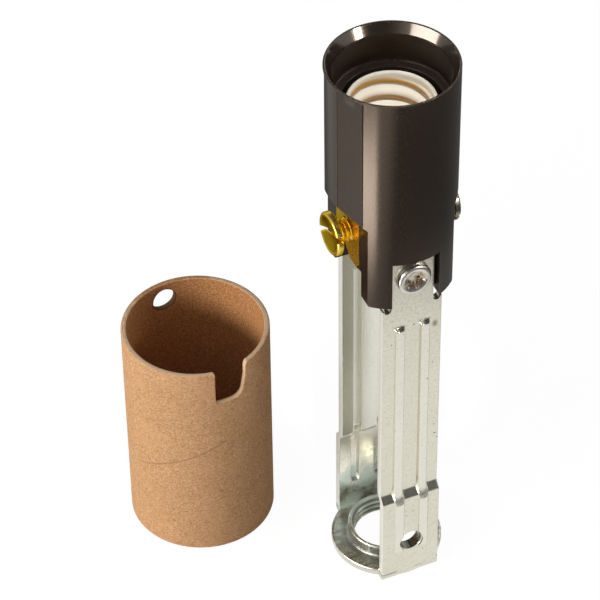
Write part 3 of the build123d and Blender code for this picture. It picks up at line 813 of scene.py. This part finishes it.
shank_end, head_outer = screw_low.x, screw_high.x
head_under = head_outer - head_height
head_profile = [(0.02 * mm, shank_end), (core_r - 0.3 * mm, shank_end), (core_r, shank_end + 0.3 * mm)]
head_profile += [(core_r, head_under), (head_half - 0.1 * mm, head_under), (head_half, head_under + 0.1 * mm)]
head_profile += arc(head_half - 0.35 * mm, head_outer - 0.35 * mm, 0.35 * mm, 0, 100, 6)
head_profile += [(head_half - 0.9 * mm, head_outer - dish * 0.45), (head_half * 0.4, head_outer - dish * 0.9)]
head_profile += [(0.02 * mm, head_outer - dish)]
slot_z = head_outer - dish - slot_deep
slot_cut = [(-slot_half, slot_z), (slot_half, slot_z), (slot_half, head_outer + mm), (-slot_half, head_outer + mm)]
for node, owner, finish, about in (("contact_terminal_screw", "contact_screw", brass, math.pi),
                                   ("shell_terminal_screw", "shell_screw", nickel, 0)):
    screw = new_piece(node + "_head", [turned(head_profile, 96)], finish)
    outward(screw)
    cut(screw, [prism(slot_cut, -far, far)])
    smoothed(screw, 30)
    thread = grown(node + "_thread", tree, {
        "Core": core_r, "Crest": crest_r, "Pitch": screw_pitch, "Length": head_under - shank_end - 0.7 * mm,
        "Material": finish}, 20)
    thread.data.transform(Matrix.Translation((0, 0, shank_end + 0.4 * mm)))
    stand = Matrix.Translation((0, 0, screw_z)) @ Matrix.Rotation(about, 4, "Z")
    stand = stand @ Matrix.Rotation(math.pi / 2, 4, "Y")
    for piece in (screw, thread):
        piece.data.transform(stand @ Matrix.Rotation(slot_turn, 4, "Z"))
        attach(piece, owner)
        "brass" if finish == brass else "nickel"
        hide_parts(node)

# Card sleeve: a tube wound from strips of kraft card in three plies, which slips down over the moulding. It has a
# slot at its top edge for a leg's rivet, with one corner rounded by the punch, and a hole on the far side.
card, shader, place = new_material("kraft_card")
sleeve_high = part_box("insulating_sleeve")[1]
sleeve_top = sleeve_high.z
sleeve_turn = math.radians(5.5)
axis_x, axis_y = -21.9 * mm, 18.7 * mm
card_wall = 0.85 * mm
card_out = sleeve_high.y - axis_y
card_in = card_out - card_wall
hole_r = 1.85 * mm
hole_z = sleeve_top - 2.9 * mm
x, y, z = axes(place)
from_axis = ((x - axis_x) * (x - axis_x) + (y - axis_y) * (y - axis_y))
from_axis = from_axis.maths("SQRT", from_axis)
turn = x.maths("ARCTAN2", y - axis_y, x - axis_x)
fibres = noise(place, 0.24 * mm, detail=4.0, roughness=0.65)
long_fibres = noise(place, 0.18 * mm, detail=3.0, stretch=(0.35, 0.35, 1.3))
mottle = noise(place, 2.4 * mm, detail=4.0)
kraft = mottle.mix((0.55, 0.27, 0.11, 1), (0.72, 0.395, 0.185, 1))
kraft = (fibres.fade(0.46, 0.64) * 0.7).mix(kraft, (0.86, 0.58, 0.35, 1))
kraft = (long_fibres.fade(0.54, 0.68) * 0.8).mix(kraft, (0.37, 0.165, 0.065, 1))
flecks = noise(place, 0.35 * mm, detail=1.0).fade(0.72, 0.78)
kraft = (flecks * 0.7).mix(kraft, (0.16, 0.075, 0.035, 1))
inside_wall = from_axis.fade(card_in + 0.12 * mm, card_in + 0.02 * mm)
inner_ply = fibres.fade(0.38, 0.62).mix((0.32, 0.13, 0.042, 1), (0.64, 0.29, 0.10, 1))
kraft = (inside_wall * 0.8).mix(kraft, inner_ply)
seam_turn = 35 * mm
seam_start = 13.6 * mm
seam = (z - seam_start) / seam_turn - (turn + math.radians(176)) / (2 * math.pi)
seam = seam.maths("ABSOLUTE", seam.maths("FRACT", seam + 0.5) - 0.5) * seam_turn
seam_line = seam.fade(0.28 * mm, 0.03 * mm) * from_axis.fade(card_out - 0.2 * mm, card_out - 0.1 * mm)
seam_line = seam_line * turn.fade(math.radians(-172), math.radians(-155))
seam_line = seam_line * turn.fade(math.radians(-76), math.radians(-96))
kraft = (seam_line * 0.40).mix(kraft, (0.34, 0.16, 0.07, 1))
edge_on = z.fade(sleeve_top - 0.10 * mm, sleeve_top - 0.02 * mm)
plies = (from_axis - card_in) * (3.0 / card_wall)
plies = plies.maths("ABSOLUTE", plies.maths("FRACT", plies + 0.06 * fibres) - 0.5) * 2
# The cut edges show the card's paler core, on the rim and the slot's sides; kept off the far side round the hole, it
# is also a painted highlight along the rim.
core = from_axis.fade(card_in + 0.08 * mm, card_in + 0.2 * mm)
core = core * from_axis.fade(card_out - 0.08 * mm, card_out - 0.2 * mm)
core = core * y.fade(sleeve_high.y - 2.2 * mm, sleeve_high.y - 2.6 * mm)
kraft = (core * 0.6).mix(kraft, (0.92, 0.70, 0.49, 1))
torn = noise(place, 1.5 * mm, detail=2.0).fade(0.38, 0.5) * y.fade(axis_y - 2.7 * mm, axis_y + 1.3 * mm)
kraft = (edge_on * plies.fade(0.6, 0.9) * (0.2 + 0.7 * torn)).mix(kraft, (0.20, 0.10, 0.05, 1))
# Painted shade: the wall of the far hole and a thin ring round it are painted dark.
beside_hole = (x - axis_x) * math.cos(sleeve_turn) + (y - axis_y) * math.sin(sleeve_turn)
hole_wall_shade = x.maths("SQRT", beside_hole * beside_hole + (z - hole_z) * (z - hole_z))
hole_wall_shade = hole_wall_shade.fade(hole_r + 0.17 * mm, hole_r + 0.08 * mm) * y.fade(axis_y, axis_y + 5 * mm)
kraft = (hole_wall_shade * 0.85).mix(kraft, (0.12, 0.055, 0.025, 1))
relief_map = 0.55 * fibres + 0.35 * long_fibres - 0.5 * seam_line - 0.3 * edge_on * plies.fade(0.6, 0.95)
feed(shader, Base_Color=kraft, Roughness=0.82 + 0.1 * fibres, Specular_IOR_Level=0.25,
     Normal=bump(relief_map, 0.09 * mm))

soft = 0.27 * mm
tube = [(card_in, 0.08 * mm), (card_in + 0.08 * mm, 0), (card_out - soft, 0)]
tube += [(card_out, soft)] + [(card_out, h) for h in steps(2 * mm, sleeve_top - 2 * mm, 2 * mm)]
tube += [(card_out, sleeve_top - soft)] + arc(card_out - soft, sleeve_top - soft, soft, 20, 90, 4)
tube += [(card_in + 0.42 * mm, sleeve_top - 0.03 * mm)] + arc(card_in + soft, sleeve_top - soft, soft, 90, 180, 4)
tube += [(card_in, h) for h in reversed(steps(2 * mm, sleeve_top - 2 * mm, 2 * mm))]
sleeve = new_piece("card_sleeve", [turned(tube, 160)], card)
outward(sleeve)
slot_half = 2.45 * mm
slot_low = sleeve_top - 6 * mm
slot_corner = 1.6 * mm
taper = 0.5 * mm
slot_shape = [(-slot_half, sleeve_top + mm), (-slot_half, slot_low + 0.35 * mm), (-slot_half + 0.35 * mm, slot_low)]
slot_shape += arc(slot_half - taper * 0.9 - slot_corner, slot_low + slot_corner, slot_corner, 270, 350, 8)
slot_shape += [(slot_half, slot_low + 3.4 * mm), (slot_half + 0.05 * mm, sleeve_top - 0.6 * mm)]
slot_shape += [(slot_half + 0.3 * mm, sleeve_top - 0.15 * mm), (slot_half + 0.6 * mm, sleeve_top + mm)]
cut(sleeve, [prism(slot_shape, -2 * far, 0)])
cut(sleeve, [prism(arc(0, hole_z, hole_r, 0, 352.5, 47), 0, 2 * far)])
frayed = sleeve.modifiers.new("edges", "BEVEL")
frayed.width, frayed.segments, frayed.limit_method, frayed.angle_limit = 0.1 * mm, 2, "ANGLE", math.radians(50)
applied(sleeve)
sleeve.data.transform(Matrix.Translation((axis_x, axis_y, 0)) @ Matrix.Rotation(sleeve_turn, 4, "Z"))
smoothed(sleeve, 40)
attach(sleeve, "holder")
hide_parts("insulating_sleeve")

# Studio: a white table that meets a white room, and the camera where the photographer had it. A large soft lamp
# stands at the camera's left and a small one at its right, a spot lamp lights the screw shell from above, and one
# more lamp is only seen mirrored in the barrel.
room = bpy.data.worlds.new("room")
bpy.context.scene.world = room
room.use_nodes = True
sky = Value(room.node_tree)
dark_side = Vector((0.0594, -0.6794, 0.7314))
direction = sky.node("ShaderNodeTexCoord", {}, {}, out=0)
facing = sky.node("ShaderNodeVectorMath", {"operation": "DOT_PRODUCT"}, {0: direction, 1: dark_side}, out=1)
seen = sky.node("ShaderNodeLightPath", {}, {}, out=0)
mirrored = sky.node("ShaderNodeLightPath", {}, {}, out=3)
behind, aside = [sky.node("ShaderNodeVectorMath", {"operation": "DOT_PRODUCT"}, {0: direction, 1: side}, out=1)
                 for side in ((0.30, 0.67, 0.68), (-0.45, 0.62, 0.64))]
reflected = 0.9 - 0.86 * facing.fade(0.60, 0.86) - 0.36 * behind.fade(0.84, 0.97) - 0.62 * aside.fade(0.6, 0.95)
across, _, above = axes(direction)
ambient = 0.34 - 0.31 * across.fade(-0.5, 0.5) + 0.3 * above.fade(0.5, 0.95)
level = seen.maths("MAXIMUM", seen, mirrored * reflected) + (1 - seen) * (1 - mirrored) * ambient
background = room.node_tree.nodes["Background"]
background.inputs["Color"].default_value = (1, 1, 1, 1)
room.node_tree.links.new(level.socket, background.inputs["Strength"])

table_top = bpy.data.materials.new("white_table")
table_top.use_nodes = True
tree = table_top.node_tree
top = Value(tree)
x, y, _ = axes(top.node("ShaderNodeTexCoord", {}, {}, out=3))
# Seen only in reflections, the table glows in a painted pattern of bright and dim patches, bright near the base and
# far out to the left, dim far out in front and to the right.
away = top.maths("SQRT", x * x + y * y)
left = (0 - x - y) / (away + 0.001 * mm) * math.sqrt(0.5)
near = 0.28 + 0.62 * left.fade(-0.8, 0.25) + 0.3 * away.fade(7.5 * mm, 6 * mm)
near = near * (1 - 0.5 * away.fade(50 * mm, 62 * mm) * x.fade(-8 * mm, -30 * mm))
beyond = 0.13 + 0.92 * x.fade(-24 * mm, -66 * mm) * (0.5 + 0.5 * y.fade(34 * mm, -6 * mm))
seen = top.node("ShaderNodeLightPath", {}, {}, out=0)
mirrored = top.node("ShaderNodeLightPath", {}, {}, out=3)
reflected = near + (beyond - near) * away.fade(70 * mm, 80 * mm)
glow = top.node("ShaderNodeEmission", {},
                {"Color": (1, 1, 1, 1), "Strength": seen * 1.12 + mirrored * reflected})
paper = top.node("ShaderNodeBsdfDiffuse", {}, {"Color": (0.60, 0.60, 0.60, 1)})
surface = top.node("ShaderNodeMixShader", {}, {0: seen * 0.85 + mirrored, 1: paper, 2: glow})
tree.links.new(surface.socket, tree.nodes["Material Output"].inputs["Surface"])
bpy.ops.mesh.primitive_plane_add(size=6)
table = bpy.context.object
table.name = "table"
table.data.materials.append(table_top)


def lamp(name, azimuth, elevation, distance, size, power, target, spread=180):
    """A rectangular soft lamp that looks at a target from a direction."""
    light = bpy.data.lights.new(name, "AREA")
    light.shape = "RECTANGLE"
    light.size, light.size_y = size
    light.energy = power
    light.spread = math.radians(spread)
    a, e = math.radians(azimuth), math.radians(elevation)
    away = Vector((math.cos(a) * math.cos(e), math.sin(a) * math.cos(e), math.sin(e)))
    lit = bpy.data.objects.new(name, light)
    bpy.context.scene.collection.objects.link(lit)
    lit.location = Vector(target) + away * distance
    lit.rotation_euler = away.to_track_quat("Z", "Y").to_euler()
    lit.visible_camera = False
    return lit


middle = (-8 * mm, 6 * mm, 45 * mm)
lamp("key", -170, 18, 0.7, (0.60, 0.15), 3.8, middle)
lamp("edge", -57, 14, 0.3, (0.065, 0.04), 0.009, (0, 6 * mm, 89 * mm), 25)
glint = lamp("glint", -152.5, -38.8, 0.1, (0.040, 0.018), 0.018, (0, 0, 77.5 * mm))
glint.visible_diffuse = False
beam = bpy.data.lights.new("down", "SPOT")
beam.energy, beam.shadow_soft_size = 6.2, 6 * mm
beam.spot_size, beam.spot_blend = math.radians(4.5), 0.6
down = bpy.data.objects.new("down", beam)
bpy.context.scene.collection.objects.link(down)
above_mouth = Vector((-0.146, -0.345, 0.927))
down.location = Vector((0, 0, 82 * mm)) + above_mouth * 0.3
down.rotation_euler = above_mouth.to_track_quat("Z", "Y").to_euler()
down.visible_glossy = False

camera = bpy.data.cameras.new("camera")
camera.lens, camera.sensor_width = 183.82, 36
camera.shift_x, camera.shift_y = -0.005425, -0.0121
camera.clip_start, camera.clip_end = 0.01, 20
eye = bpy.data.objects.new("camera", camera)
bpy.context.scene.collection.objects.link(eye)
right, up = (0.9129565, -0.4079518, -0.0092598), (0.2828106, 0.6162183, 0.7350464)
back, stand = (-0.2942, -0.6737, 0.6779), (-0.136, -0.28159, 0.33766)
eye.matrix_world = Matrix([*zip(right, up, back, stand), (0, 0, 0, 1)])
bpy.context.scene.camera = eye
bpy.context.scene.view_settings.view_transform = "Standard"
